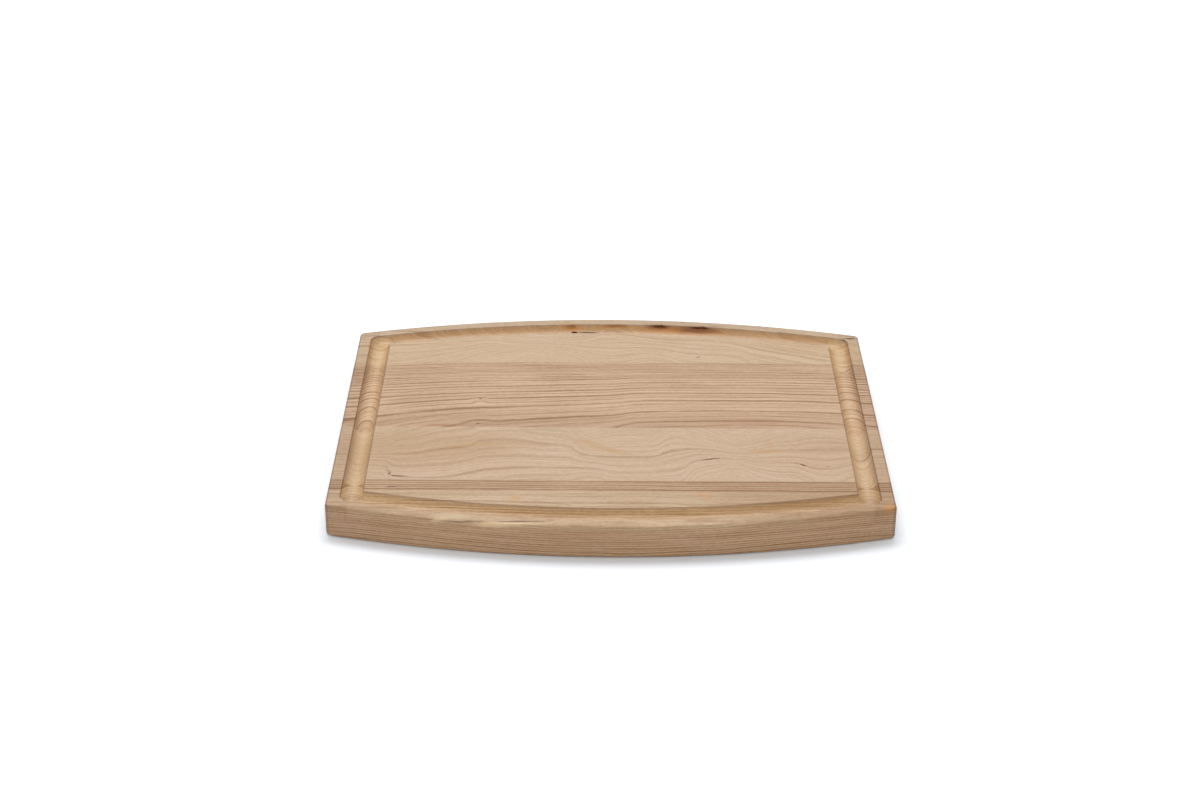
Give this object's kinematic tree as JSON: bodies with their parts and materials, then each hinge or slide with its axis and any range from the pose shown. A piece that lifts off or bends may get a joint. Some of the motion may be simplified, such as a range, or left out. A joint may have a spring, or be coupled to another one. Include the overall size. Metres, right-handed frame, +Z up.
{
  "type": "cutting board",
  "caption": "Edge-glued hardwood cutting board with straight ends, bowed long edges and a round-bottomed juice channel round the top.",
  "frame": {"origin": "middle of the underside, on the surface that the board lies on", "axes": "+X along the grain and the longest side, +Y across the grain towards the back bowed edge, +Z up out of the channelled face"},
  "size_m": [0.3048, 0.2444, 0.0191],
  "materials": {
    "wood_back": "sanded, matt to satin",
    "wood_middle_back": "sanded, matt to satin",
    "wood_middle_front": "sanded, matt to satin",
    "wood_front": "sanded, matt to satin",
    "glue": "cured wood glue, seen only as a fine line"
  },
  "bodies": {
    "root": {"stave_back": "wood_back", "stave_middle_back": "wood_middle_back", "stave_middle_front": "wood_middle_front", "stave_front": "wood_front", "glue_line_back": "glue", "glue_line_middle": "glue", "glue_line_front": "glue"}
  },
  "joints": []
}
